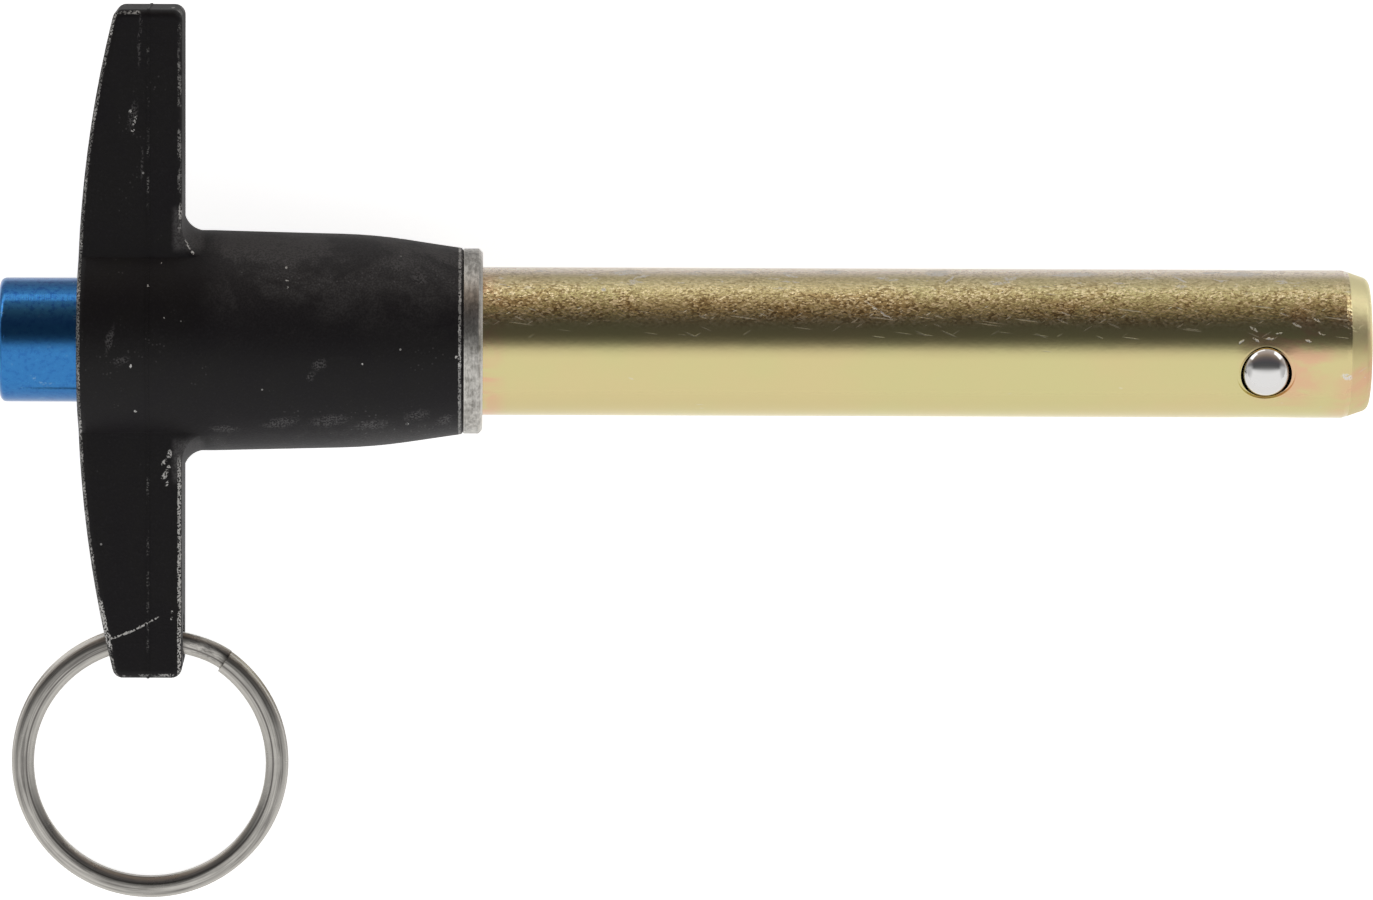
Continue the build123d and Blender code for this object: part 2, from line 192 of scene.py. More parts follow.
class Shader:
    """Builds one node tree; every node comes from its node method."""

    def __init__(self, tree):
        tree.nodes.clear()
        self.tree = tree

    def node(self, kind, settings, inputs, output=0):
        """Adds a node, sets it up, fills its inputs and returns one output, or all for None."""
        made = self.tree.nodes.new(kind)
        for name, value in settings.items():
            if name == "stops":
                fill_ramp(made.color_ramp, value)
            else:
                setattr(made, name, value)
        for key, value in inputs.items():
            if isinstance(value, Socket):
                self.tree.links.new(value.link, made.inputs[key])
            else:
                made.inputs[key].default_value = value
        if output is None:
            return [Socket(self, out) for out in made.outputs]
        return Socket(self, made.outputs[output]) if len(made.outputs) else made

    def place(self, turn=(0, 0, 0), stretch=(1, 1, 1), start=(0, 0, 0)):
        """The piece's own coordinates in metres, stretched, then turned, then moved."""
        here = self.node("ShaderNodeTexCoord", {}, {}, "Object")
        return self.moved(here, turn, stretch, start)

    def moved(self, vector, turn=(0, 0, 0), stretch=(1, 1, 1), start=(0, 0, 0)):
        """A vector stretched, then turned, then moved."""
        values = {"Vector": vector, "Location": start, "Rotation": turn, "Scale": stretch}
        return self.node("ShaderNodeMapping", {"vector_type": "POINT"}, values)

    def split(self, vector):
        """The x, y and z of a vector."""
        return self.node("ShaderNodeSeparateXYZ", {}, {0: vector}, None)

    def join(self, x, y, z):
        """A vector from three numbers."""
        return self.node("ShaderNodeCombineXYZ", {}, {0: x, 1: y, 2: z})

    def noise(self, where, size, detail=2.0, rough=0.5, warp=0.0, output=0):
        """Cloudy noise from 0 to 1 whose lumps are about size metres across."""
        values = {"Vector": where, "Scale": 1 / size, "Detail": detail}
        values.update(Roughness=rough, Distortion=warp)
        return self.node("ShaderNodeTexNoise", {"noise_dimensions": "3D"}, values, output)

    def cells(self, where, size):
        """Distance to the nearest of points size metres apart, in sizes, and that point's number."""
        apart = {"Vector": where, "Scale": 1 / size}
        distance, colour = self.node("ShaderNodeTexVoronoi", {"feature": "F1"}, apart, None)[:2]
        return distance, self.split(colour)[0]

    def wander(self, where, size, amount):
        """A vector shifted about by noise, by up to half of amount metres."""
        push = self.noise(where, size, detail=2, output=1)
        push = self.node("ShaderNodeVectorMath", {"operation": "SUBTRACT"}, {0: push, 1: (0.5, 0.5, 0.5)})
        push = self.node("ShaderNodeVectorMath", {"operation": "SCALE"}, {0: push, 3: amount})
        return self.node("ShaderNodeVectorMath", {"operation": "ADD"}, {0: where, 1: push})

    def mix(self, share, under, over):
        """A colour between two colours."""
        return self.node("ShaderNodeMix", {"data_type": "RGBA"}, {0: share, 6: under, 7: over}, 2)

    def bump(self, height, depth, under=None):
        """A normal roughened by a height from 0 to 1, whose full step is depth metres."""
        inputs = {"Height": height, "Distance": depth, "Strength": 1.0}
        if under is not None:
            inputs["Normal"] = under
        return self.node("ShaderNodeBump", {}, inputs)

    def light_path(self, ray):
        """1 for one kind of ray, such as Is Camera Ray."""
        return self.node("ShaderNodeLightPath", {}, {}, ray)

    def finish(self, **inputs):
        """Ends the tree in one Principled surface; inputs are by socket name with _ for a space."""
        named = {name.replace("_", " "): value for name, value in inputs.items()}
        shaded = self.node("ShaderNodeBsdfPrincipled", {}, named)
        self.node("ShaderNodeOutputMaterial", {"target": "ALL"}, {"Surface": shaded})


def fill_ramp(ramp, stops):
    """Gives a colour ramp its stops, each a position and a colour."""
    while len(ramp.elements) > 1:
        ramp.elements.remove(ramp.elements[0])
    ramp.elements[0].position = stops[0][0]
    ramp.elements[0].color = (*stops[0][1], 1)
    for position, colour in stops[1:]:
        ramp.elements.new(position).color = (*colour, 1)


def new_finish(name):
    """A new material and the shader that fills it."""
    material = bpy.data.materials.new(name)
    material.use_nodes = True
    return material, Shader(material.node_tree)


def give(node, material):
    """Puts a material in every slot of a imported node."""
    mesh = frame["nodes"][node].data
    if not mesh.materials:
        mesh.materials.append(material)
    for index in range(len(mesh.materials)):
        mesh.materials[index] = material


# --- Settings -----------------------------------------------------------------------------------


def colour_setting(name, description, default):
    """A colour that can be changed in the panel."""
    return bpy.props.FloatVectorProperty(
        name=name, description=description, default=default, size=3, subtype="COLOR", min=0, max=1
    )


class PinFinishes(bpy.types.PropertyGroup):
    """Colours of the pin's finishes."""

    plating: colour_setting("Plating", "Yellow zinc plating on the shank", (0.662, 0.572, 0.287))
    plating_green: colour_setting("Plating green", "Green blush in the plating", (0.635, 0.585, 0.283))
    plating_pink: colour_setting("Plating pink", "Pink blush in the plating", (0.72, 0.46, 0.285))
    plating_flank: colour_setting("Plating flank", "Plating on the shank's flanks", (0.68, 0.55, 0.36))
    plating_pits: colour_setting("Plating pits", "Dark grains of the plating", (0.25, 0.17, 0.07))
    # Painted glints: these bright grains stand in for sparkle of light off the plating's facets
    plating_painted_glints: colour_setting("Plating glints", "Bright grains of the plating", (1.0, 0.87, 0.55))
    plating_brown: colour_setting("Plating brown", "Burnt patches in the plating", (0.55, 0.37, 0.17))
    # Painted reflection: this pale colour stands in for the white floor reflected along the shank's +Y edge
    plating_rim_reflection: colour_setting("Plating rim", "Rubbed plating along the flanks' edge", (0.95, 0.84, 0.74))
    # Painted highlight: this pale yellow lightens the lead's +Y side where a lamp is reflected
    plating_lead_highlight: colour_setting("Plating lead", "Plating on the tapered lead", (1.0, 0.93, 0.55))
    zinc: colour_setting("Bare zinc", "Scratched plating", (0.80, 0.78, 0.74))
    coating: colour_setting("Coating", "Black coating on the handle", (0.0066, 0.0052, 0.0068))
    coating_warm: colour_setting("Coating, warm", "Black coating where it is thin", (0.0085, 0.0075, 0.0075))
    coating_light: colour_setting("Coating, light", "Grains of the black coating", (0.018, 0.016, 0.018))
    # Grey for real scuffs and dust, and also for the painted sheen on the barrel and reflection in the root
    # flares
    scuffed_and_sheen: colour_setting("Scuffed coating", "Coating rubbed grey", (0.085, 0.081, 0.082))
    # Bare metal for real wear, and also the colour of the painted edge and ridge highlights
    bare_metal_and_highlights: colour_setting("Bare metal", "Casting where the coating is worn off", (0.60, 0.59, 0.57))
    anodising: colour_setting("Anodising", "Blue anodising on the button", (0.040, 0.182, 0.465))
    anodising_light: colour_setting("Anodising, light", "Lighter clouds in the blue", (0.045, 0.23, 0.50))
    anodising_dark: colour_setting("Anodising, dark", "Dark blots in the blue", (0.018, 0.10, 0.36))
    anodising_pale: colour_setting("Anodising, pale", "Pale blots in the blue", (0.06, 0.30, 0.60))
    anodising_rub: colour_setting("Anodising, rubbed", "Rubs on the blue", (0.35, 0.50, 0.66))
    collar_steel: colour_setting("Collar steel", "Turned steel of the collar", (0.62, 0.60, 0.56))
    collar_dull: colour_setting("Collar steel, dull", "Dull mottle of the collar", (0.23, 0.22, 0.20))
    spindle_steel: colour_setting("Spindle steel", "Turned steel of the spindle", (0.5, 0.47, 0.4))
    spindle_dull: colour_setting("Spindle steel, dull", "Dull mottle of the spindle", (0.3, 0.27, 0.2))
    coil_steel: colour_setting("Coil steel", "Wire of the return spring", (0.5, 0.49, 0.47))
    coil_dull: colour_setting("Coil steel, dull", "Dull mottle of the return spring", (0.3, 0.29, 0.28))
    ring_steel: colour_setting("Ring steel", "Polished spring steel of the split ring", (0.56, 0.54, 0.50))
    # Dull lines along the wire, and also the colour of the painted shade in the groove between the turns
    ring_dull_and_groove_shade: colour_setting("Ring steel, dull", "Dull lines along the split ring", (0.17, 0.16, 0.15))
    ball_steel: colour_setting("Ball steel", "Polished locking balls", (0.74, 0.73, 0.72))


class PinStudio(bpy.types.PropertyGroup):
    """Camera and floor."""

    camera_distance: bpy.props.FloatProperty(
        name="Camera distance", description="Camera to the pin's axis",
        default=0.87, min=0.3, unit="LENGTH",
    )
    view_width: bpy.props.FloatProperty(
        name="View width", description="Width seen at the pin's axis",
        default=0.1177, min=0.05, unit="LENGTH",
    )
    camera_pitch: bpy.props.FloatProperty(
        name="Camera pitch", description="Lean of the camera towards the ring's side",
        default=math.radians(3), subtype="ANGLE",
    )
    camera_yaw: bpy.props.FloatProperty(
        name="Camera yaw", description="Lean of the camera towards the button",
        default=math.radians(1.2), subtype="ANGLE",
    )
    camera_roll: bpy.props.FloatProperty(
        name="Camera roll", description="Turn of the camera about its view",
        default=math.radians(0.13), subtype="ANGLE",
    )
    floor_size: bpy.props.FloatProperty(
        name="Floor size", description="Side of the square floor", default=6.0, min=1.0, unit="LENGTH"
    )


# --- Marks --------------------------------------------------------------------------------------

# Marks on the near side as it lies, in mm and degrees: middle x, middle y, half length, turn and
# half width
HANDLE_SCUFFS = (
    (-18.6, 7.4, 0.95, 52, 0.28),
    (-13.9, -2.6, 0.65, 15, 0.5),
    (-14.6, -3.6, 0.5, 40, 0.3),
    (-7.2, 6.1, 0.8, 35, 0.5),
    (-5.4, 4.9, 0.7, -20, 0.5),
    (-3.4, 6.6, 0.5, 10, 0.4),
    (-29.8, 18.6, 1.3, 78, 0.35),
    (-29.2, 25.0, 2.6, 88, 0.14),
    (-29.0, 14.6, 1.5, 88, 0.12),
    (-31.6, -0.6, 1.2, 75, 0.3),
    (-30.6, -2.4, 0.8, 20, 0.35),
    (-17.2, -7.4, 1.6, 8, 0.4),
    (-13.0, -7.2, 1.7, 6, 0.45),
    (-9.4, -7.5, 1.5, 5, 0.35),
    (-5.6, -6.7, 1.1, 12, 0.4),
    (-3.2, -7.0, 0.8, 20, 0.35),
    (-22.0, -7.9, 1.3, 0, 0.25),
)
HANDLE_NICKS = (
    (-31.2, 28.3, 0.25, 0, 0.12),
    (-26.45, 28.05, 0.2, 75, 0.14),
    (-30.0, 18.95, 0.14, 30, 0.11),
    (-29.6, 18.15, 0.42, 70, 0.12),
    (-29.75, 17.3, 0.14, 20, 0.10),
    (-27.4, 6.1, 0.09, 0, 0.09),
    (-28.4, 4.05, 0.09, 0, 0.09),
    (-27.0, 1.3, 0.08, 0, 0.08),
    (-16.7, 5.75, 0.11, 0, 0.10),
    (-16.65, 4.6, 0.08, 80, 0.15),
    (-16.6, 4.0, 0.09, 0, 0.08),
    (-10.2, -2.55, 0.1, 0, 0.09),
    (-29.85, -2.8, 0.14, 60, 0.11),
    (-29.5, -6.5, 0.12, 0, 0.10),
    (-6.4, -7.4, 0.1, 0, 0.09),
    (-2.25, -1.86, 0.13, 0, 0.11),
    (-26.65, -10.0, 0.34, 80, 0.2),
    (-27.1, -10.7, 0.3, 50, 0.16),
    (-26.75, -11.2, 0.3, 60, 0.16),
    (-27.05, -11.8, 0.36, 50, 0.22),
    (-26.85, -12.5, 0.26, 60, 0.13),
    (-26.45, -23.4, 0.13, 80, 0.09),
    (-26.45, -23.95, 0.14, 80, 0.10),
    (-31.85, -25.35, 0.28, -50, 0.10),
    (-31.3, -25.55, 0.75, 18, 0.10),
    (-30.2, -25.15, 0.8, 22, 0.10),
    (-29.0, -24.6, 0.75, 26, 0.09),
    (-28.0, -24.05, 0.5, 28, 0.06),
    (-25.75, 10.5, 0.7, 89, 0.13),
    (-25.15, 7.75, 0.45, -62, 0.10),
    (-24.7, 7.05, 0.2, -50, 0.11),
)
PLATING_NICKS = (
    (12.3, 5.75, 1.3, 2, 0.22),
    (13.6, 5.35, 0.8, 14, 0.10),
    (22.3, 5.85, 0.8, 0, 0.20),
    (26.2, 5.5, 0.5, -18, 0.10),
    (29.9, 5.9, 0.9, 0, 0.20),
    (38.8, 5.75, 1.0, 0, 0.24),
    (39.9, 5.2, 0.5, 40, 0.10),
    (50.8, 5.7, 1.7, 2, 0.20),
    (65.0, 5.8, 1.8, 0, 0.18),
    (59.6, 5.3, 0.7, -30, 0.10),
    (10.3, 4.15, 0.16, 0, 0.16),
    (33.7, 2.4, 1.5, -35, 0.07),
    (20.4, 4.9, 0.12, 0, 0.12),
    (65.75, 0.85, 0.42, -30, 0.09),
    (69.4, 1.2, 0.48, -28, 0.10),
    (71.1, 1.7, 0.40, -30, 0.08),
    (71.5, 0.5, 0.30, -25, 0.07),
    (70.4, -0.15, 0.26, -20, 0.09),
    (65.9, -0.1, 0.30, -35, 0.10),
    (64.7, -0.25, 0.28, 32, 0.10),
    (67.0, 0.05, 0.45, 4, 0.10),
    (67.9, 0.5, 0.25, 20, 0.08),
    (73.75, -3.15, 0.48, -8, 0.24),
)


def nearest_mark(shader, where, marks):
    """Distance from the middle of the nearest mark, 1 at its pointed outline."""
    nearest = None
    for x, y, half_length, turn, half_width in marks:
        values = {
            "Vector": where,
            "Location": (x * MM, y * MM, 0),
            "Rotation": (0, 0, math.radians(turn)),
            "Scale": (half_length * MM, half_width * MM, 1),
        }
        laid = shader.node("ShaderNodeMapping", {"vector_type": "TEXTURE"}, values)
        away = shader.node("ShaderNodeVectorMath", {"operation": "LENGTH"}, {0: laid}, "Value")
        nearest = away if nearest is None else nearest.least(away)
    return nearest


# --- Plated shank -------------------------------------------------------------------------------


def dashes(shader, where, turn, length, width, share):
    """Short straight scratches of one direction; share is how many of the places hold one."""
    laid = shader.moved(where, turn=turn)
    laid = shader.moved(laid, stretch=(width / length, 1, 1))
    distance, number = shader.cells(laid, 4 * width)
    return distance.ramp(0.17, 0.1) * (number + share).ramp(1, 1.01)


# Fine scratches on the plating: lean about X and turn about Z in degrees, length and width in mm
SCRATCHES = ((0, 24, 1.6, 0.11), (0, -33, 1.1, 0.09), (20, 8, 2.4, 0.08))


def scratches(shader, where, share):
    """Fine scratches in three directions."""
    found = None
    for lean, turn, length, width in SCRATCHES:
        way = (math.radians(lean), 0, math.radians(turn))
        cut = dashes(shader, where, way, length * MM, width * MM, share)
        found = cut if found is None else found.most(cut)
    return found


def yellow_plating(finish):
    """Yellow zinc on a ground shank: smooth, with one grainy blushed flank whose bright grains are painted
    glints, a painted reflection along that flank's edge, a painted highlight on the lead and bright nicks.
    """
    material, shader = new_finish("yellow_plating")
    where = shader.place()
    x, y, z = shader.split(where)
    grain = shader.noise(where, 0.2 * MM, detail=2, rough=0.6)
    lumps = shader.noise(where, 1.6 * MM, detail=2)
    clouds = shader.noise(shader.moved(where, stretch=(0.5, 1, 1)), 3.4 * MM, detail=4, rough=0.6, warp=0.8)
    drift = shader.noise(where, 9 * MM, detail=3)
    facet = shader.cells(shader.moved(where, stretch=(0.7, 1, 1)), 0.16 * MM)[1]
    lead = x.ramp(LEAD_START, LEAD_START + 0.15 * MM)
    grainy_side = y.ramp(0.4 * MM, 2.2 * MM) * (1 - 0.7 * lead)
    outer = y.ramp(3.6 * MM, 5.4 * MM)

    ends = x.ramp(2.4 * MM, 0.3 * MM).most(x.ramp(TIP - 5 * MM, TIP - 1.2 * MM))
    off_ball = (x - (BALL_PLACE.x + 2 * MM)).length_with(y - (BALL_PLACE.y + 0.8 * MM))
    near_ball = off_ball.ramp(5 * MM, 2.2 * MM)
    colour = shader.mix(drift.ramp(0.35, 0.65), (*finish.plating_green, 1), (*finish.plating, 1))
    pinkness = 0.12 * clouds + 0.9 * clouds.ramp(0.4, 0.62) * ends.most(near_ball)
    colour = shader.mix(pinkness.least(1), colour, (*finish.plating_pink, 1))
    colour = shader.mix(outer * (0.25 + 0.5 * clouds), colour, (*finish.plating_flank, 1))
    # Painted reflection: the pale band along the +Y edge stands in for the white floor seen in the metal
    # there
    painted_rim_light = y.ramp(5.2 * MM, 5.9 * MM)
    colour = shader.mix(0.9 * painted_rim_light, colour, (*finish.plating_rim_reflection, 1))
    burnt = clouds.ramp(0.45, 0.65) * grainy_side * (1 - outer)
    colour = shader.mix(0.55 * burnt, colour, (*finish.plating_brown, 1))
    # Painted glints: bright grains on the +Y flank stand in for sparkle off the plating's facets; the dark
    # pits are its grain
    grain_and_painted_glints = grainy_side * (1 - 0.6 * outer) * (0.6 + 0.4 * clouds.ramp(0.38, 0.56))
    colour = shader.mix(0.9 * grain_and_painted_glints * facet.ramp(0.42, 0.1), colour, (*finish.plating_pits, 1))
    colour = shader.mix(0.95 * grain_and_painted_glints * facet.ramp(0.66, 0.88), colour, (*finish.plating_painted_glints, 1))

    patches = shader.noise(shader.moved(where, stretch=(0.4, 1, 1)), 1.1 * MM, detail=3, rough=0.65)
    speckle = shader.noise(where, 0.2 * MM, detail=2).ramp(0.36, 0.5)
    rubs = outer * patches.ramp(0.6, 0.66)
    ragged = shader.wander(where, 0.35 * MM, 0.3 * MM)
    near_marks = nearest_mark(shader, ragged, PLATING_NICKS).ramp(1.25, 0.7)
    near_marks = near_marks * z.ramp(0, 1 * MM)
    dark_strip = y.band(0.3 * MM, 2.6 * MM, 0.6 * MM)
    share = 0.05 + 0.1 * grainy_side + 0.7 * dark_strip
    fine_marks = scratches(shader, where, share) * (clouds + 0.12 * dark_strip).ramp(0.46, 0.54)
    worn = rubs.most(near_marks) * speckle
    worn = worn.most(fine_marks * (0.35 + 0.25 * grainy_side))
    colour = shader.mix(0.85 * worn, colour, (*finish.zinc, 1))

    # Painted highlight: the lead's +Y side is lightened to stand in for the lamp reflected along it
    colour = shader.mix(0.8 * lead * y.ramp(-1 * MM, 2 * MM), colour, (*finish.plating_lead_highlight, 1))

    ripples = shader.bump(lumps, 0.01 * MM)
    shader.finish(
        Base_Color=colour,
        Metallic=1.0,
        Roughness=0.11 + 0.04 * clouds + 0.05 * grainy_side + 0.4 * worn + 0.3 * lead,
        Normal=shader.bump((0.1 + 0.9 * grainy_side) * grain - 0.3 * worn, 0.04 * MM, ripples),
    )
    return material


# --- Coated handle ------------------------------------------------------------------------------


def edge_gaps(x, y):
    """How far a place on the handle lies inside its swept back, its arms' front and their tips."""
    reach = abs(y)
    bow = (reach - ARM_FLAT).most(0)
    back = x - (HANDLE_BACK + ARM_SWEEP) + (ARM_SWEEP**2 - bow * bow) ** 0.5
    front = ARM_FRONT - x
    tip = ARM_REACH - reach
    return back, front, tip


def black_coating(finish):
    """Satin black coating on a casting, worn through at edges and scuffed dusty on its flanks, with painted
    highlights along its edges and parting ridge, painted sheen on the barrel and painted reflections in the
    arms' root flares.
    """
    material, shader = new_finish("black_coating")
    lying = shader.place()
    own = shader.place(turn=(-handle_roll(), 0, 0))
    x, y, z = shader.split(shader.wander(own, 0.35 * MM, 0.2 * MM))
    back, front, tip = edge_gaps(x, y)
    grain = shader.noise(own, 0.22 * MM, detail=3, rough=0.65)
    lumps = shader.noise(own, 1.3 * MM, detail=3)
    fine = shader.noise(own, 0.16 * MM, detail=1)
    patches = shader.noise(own, 2.6 * MM, detail=3, rough=0.6)
    clouds = shader.noise(own, 5.5 * MM, detail=4, rough=0.65, warp=0.5)

    on_arm = abs(y).ramp(9.3 * MM, 10.2 * MM)
    on_barrel = x.ramp(ARM_FRONT + 1 * MM, ARM_FRONT + 4 * MM)
    ring_side = y.ramp(0, -2 * MM)
    # Partly worn coating, partly painted highlights: the front, back and tip lines and the barrel's nose are
    # lightened where rounded edges catch light
    front_line = front.band(0.12 * MM, 0.34 * MM, 0.07 * MM) * on_arm
    front_line = front_line * (patches + 0.12 * ring_side).ramp(0.46, 0.54) * (0.4 + 0.6 * ring_side)
    back_line = back.band(0.08 * MM, 0.26 * MM, 0.1 * MM) * (0.4 + 0.6 * patches.ramp(0.5, 0.6))
    tip_line = tip.band(0.15 * MM, 0.35 * MM, 0.08 * MM) * patches.ramp(0.5, 0.58)
    beads = abs(y + 24 * MM).ramp(2.4 * MM, 1.8 * MM) * back.band(0.1 * MM, 0.4 * MM, 0.1 * MM)
    nose = (x - BARREL_FRONT).band(-0.32 * MM, -0.16 * MM, 0.06 * MM) * (0.5 + 0.5 * patches.ramp(0.5, 0.6))
    edge_wear_and_highlights = front_line.most(0.8 * back_line).most(0.7 * tip_line).most(beads) * fine.ramp(0.42, 0.54)
    edge_wear_and_highlights = edge_wear_and_highlights.most(nose * fine.ramp(0.36, 0.5))
    # Painted highlight: a patchy light line along the parting ridge, where the ridge catches light
    parting_ridge_highlight = abs(x - PARTING_LINE).ramp(0.16 * MM, 0.06 * MM) * on_arm
    parting_ridge_highlight = 0.22 * parting_ridge_highlight * patches.ramp(0.5, 0.62) * fine.ramp(0.45, 0.6)

    distance, number = shader.cells(own, 1.7 * MM)
    specks = distance.ramp(0.07, 0.04) * number.ramp(0.88, 0.89)
    distance, number = shader.cells(own, 0.3 * MM)
    dusty = on_barrel * abs(y).band(5.6 * MM, 8.6 * MM, 0.8 * MM) * clouds.ramp(0.42, 0.56)
    dusty = dusty.most(0.6 * clouds.ramp(0.56, 0.66))
    dust = distance.ramp(0.34, 0.2) * number.ramp(0.6, 0.75) * dusty
    # Partly scuffing, partly painted sheen: the barrel is greyed over its +Y half and towards both edges,
    # where the satin coat reflects the tent
    far_side = y.ramp(-0.5 * MM, 6.5 * MM)
    flank = on_barrel * (far_side + 0.9 * abs(y).ramp(5.5 * MM, 9 * MM))
    rubbed_and_sheen = flank * (0.35 + 0.65 * clouds.ramp(0.4, 0.62)) * (0.5 + 0.5 * fine.ramp(0.4, 0.62))

    near_side = z.ramp(0, 2 * MM)
    marks = nearest_mark(shader, shader.wander(lying, 0.25 * MM, 0.22 * MM), HANDLE_NICKS).ramp(1.25, 0.75)
    marks = marks * near_side * fine.ramp(0.42, 0.54)
    scuffs = nearest_mark(shader, shader.wander(lying, 0.6 * MM, 0.5 * MM), HANDLE_SCUFFS).ramp(1.3, 0.4)
    scuffs = scuffs * near_side * fine.ramp(0.42, 0.6)

    # worn also carries painted highlights, the edge lines and the parting ridge's light line, besides real
    # specks and nicks
    worn = edge_wear_and_highlights.most(marks).most(0.5 * specks).most(parting_ridge_highlight)
    # Painted reflection: grey in the concave root flares of the arms, where the floor and tent are reflected
    root_reflection = x.band(ARM_FRONT - 0.5 * MM, ARM_FRONT + 1.6 * MM, 0.5 * MM)
    root_reflection = root_reflection * abs(y).band(8.6 * MM, 11.2 * MM, 0.9 * MM) * (0.5 + 0.5 * fine.ramp(0.35, 0.6))
    haze_and_sheen = (0.75 * dust + 0.7 * rubbed_and_sheen + 0.8 * scuffs + 0.9 * root_reflection).least(1)
    tone = shader.mix(clouds.ramp(0.3, 0.7), (*finish.coating, 1), (*finish.coating_warm, 1))
    tone = shader.mix(0.4 * grain.ramp(0.5, 0.7), tone, (*finish.coating_light, 1))
    colour = shader.mix(haze_and_sheen, tone, (*finish.scuffed_and_sheen, 1))
    colour = shader.mix(worn, colour, (*finish.bare_metal_and_highlights, 1))
    skin = shader.bump(lumps, 0.02 * MM)
    shader.finish(
        Base_Color=colour,
        Metallic=0.35 * worn,
        Roughness=0.42 + 0.14 * grain + 0.1 * haze_and_sheen,
        Specular_IOR_Level=0.2,
        Normal=shader.bump(grain - 0.6 * edge_wear_and_highlights, 0.026 * MM, skin),
    )
    return material


# --- Button, collar, spindle, spring, ring and balls --------------------------------------------


def blue_anodising(finish):
    """Blue anodised aluminium: fine turning lines, blotches and a few rubs."""
    material, shader = new_finish("blue_anodising")
    where = shader.place()
    lines = shader.noise(shader.moved(where, stretch=(1, 0.03, 0.03)), 0.16 * MM, detail=2)
    clouds = shader.noise(where, 1.6 * MM, detail=3, rough=0.6)
    y = shader.split(where)[1]
    blots = shader.noise(where, 0.45 * MM, detail=3, rough=0.7)
    blotted = 0.5 + 0.5 * y.ramp(0.5 * MM, 2.5 * MM)
    rubs = clouds.ramp(0.6, 0.68) * shader.noise(where, 0.25 * MM).ramp(0.45, 0.6)
    colour = shader.mix(0.5 * clouds, (*finish.anodising, 1), (*finish.anodising_light, 1))
    colour = shader.mix(0.75 * blotted * blots.ramp(0.5, 0.64), colour, (*finish.anodising_dark, 1))
    colour = shader.mix(0.5 * blotted * blots.ramp(0.42, 0.3), colour, (*finish.anodising_pale, 1))
    colour = shader.mix(0.3 * rubs, colour, (*finish.anodising_rub, 1))
    shader.finish(
        Base_Color=colour,
        Metallic=1.0,
        Roughness=0.06 + 0.06 * lines + 0.1 * blotted * blots + 0.2 * rubs,
        Normal=shader.bump(lines + blots, 0.005 * MM),
    )
    return material


def turned_steel(name, colour, dark, roughness, size):
    """Turned steel: fine lines round the pin's axis, mottled dull, and bright from the collar's rims out, a
    painted highlight on the collar's chamfered rims.
    """
    material, shader = new_finish(name)
    where = shader.place()
    x = shader.split(where)[0]
    lines = shader.noise(shader.moved(where, stretch=(1, 0.08, 0.08)), size, detail=3, rough=0.6)
    mottle = shader.noise(shader.moved(where, stretch=(1, 0.6, 0.6)), 0.3 * MM, detail=3, rough=0.7)
    dull = shader.noise(where, 1.5 * MM, detail=3).ramp(0.4, 0.62)
    low, high = COLLAR_BOX[0].x, COLLAR_BOX[1].x
    # Painted highlight: lighter towards the collar's rims, where its chamfers catch light, and lighter on
    # all from there out
    painted_rim_light = x.ramp(low + 0.24 * MM, low + 0.1 * MM).most(x.ramp(high - 0.24 * MM, high - 0.1 * MM))
    shade = 0.5 * mottle.ramp(0.38, 0.62) + 0.25 * dull + 0.25 * lines.ramp(0.4, 0.6)
    tone = shader.mix(shade * (1 - 0.8 * painted_rim_light), (*colour, 1), (*dark, 1))
    shader.finish(
        Base_Color=tone,
        Metallic=1.0,
        Roughness=roughness + 0.2 * mottle - 0.08 * painted_rim_light,
        Normal=shader.bump(lines + mottle, 0.016 * MM),
    )
    return material


def ring_lines(shader):
    """Coordinates round the split ring: out from its middle, across its plane and round it."""
    low, high = RING_BOX
    middle = (low + high) / 2
    eye = Vector(joint_named("ring_swing")["pos_m"])
    tilt = math.atan2(eye.z - middle.z, eye.y - middle.y)
    start = Euler((-tilt, 0, 0)).to_matrix() @ -middle
    flat = shader.place(turn=(-tilt, 0, 0), start=tuple(start))
    x, y, z = shader.split(flat)
    return x.length_with(y), z, y.angle_from(x)


def spring_steel(finish):
    """Drawn wire of the split ring: lines along the wire, painted highlights on its rims, a painted dark
    groove line between its turns and dull stretches.
    """
    material, shader = new_finish("ring_steel")
    out, up, round_angle = ring_lines(shader)
    where = shader.place()
    around = abs(round_angle) * (0.35 * MM)
    drawn = shader.noise(shader.join(out, up, around), 0.14 * MM, detail=2, rough=0.6)
    bands = shader.noise(shader.join(out, up, around), 0.5 * MM, detail=1)
    marks = shader.noise(where, 0.5 * MM, detail=3, rough=0.65)
    dull = shader.noise(where, 2.5 * MM, detail=3).ramp(0.4, 0.65)
    # Painted highlights: the outer and inner rims are lightened where the wire's rounded edges catch light
    rim_highlights = out.ramp(RING_OUTSIDE - 0.5 * MM, RING_OUTSIDE - 0.2 * MM)
    rim_highlights = rim_highlights.most(out.ramp(RING_INSIDE + 0.5 * MM, RING_INSIDE + 0.25 * MM))
    # Painted shade: a dark line in the groove between the ring's two turns
    groove_shade = abs(out - (RING_INSIDE + 0.62 * MM)).ramp(0.12 * MM, 0.04 * MM)
    shade = 0.4 * drawn.ramp(0.42, 0.6) + 0.4 * bands.ramp(0.42, 0.58) + 0.1 * marks + 0.1 * dull
    shade = (shade * (1 - 0.85 * rim_highlights)).most(groove_shade).least(1)
    tone = shader.mix(shade, (*finish.ring_steel, 1), (*finish.ring_dull_and_groove_shade, 1))
    shader.finish(
        Base_Color=tone,
        Metallic=1.0,
        Roughness=0.23 + 0.1 * marks + 0.06 * dull,
        Normal=shader.bump(drawn + 0.5 * marks, 0.012 * MM),
    )
    return material


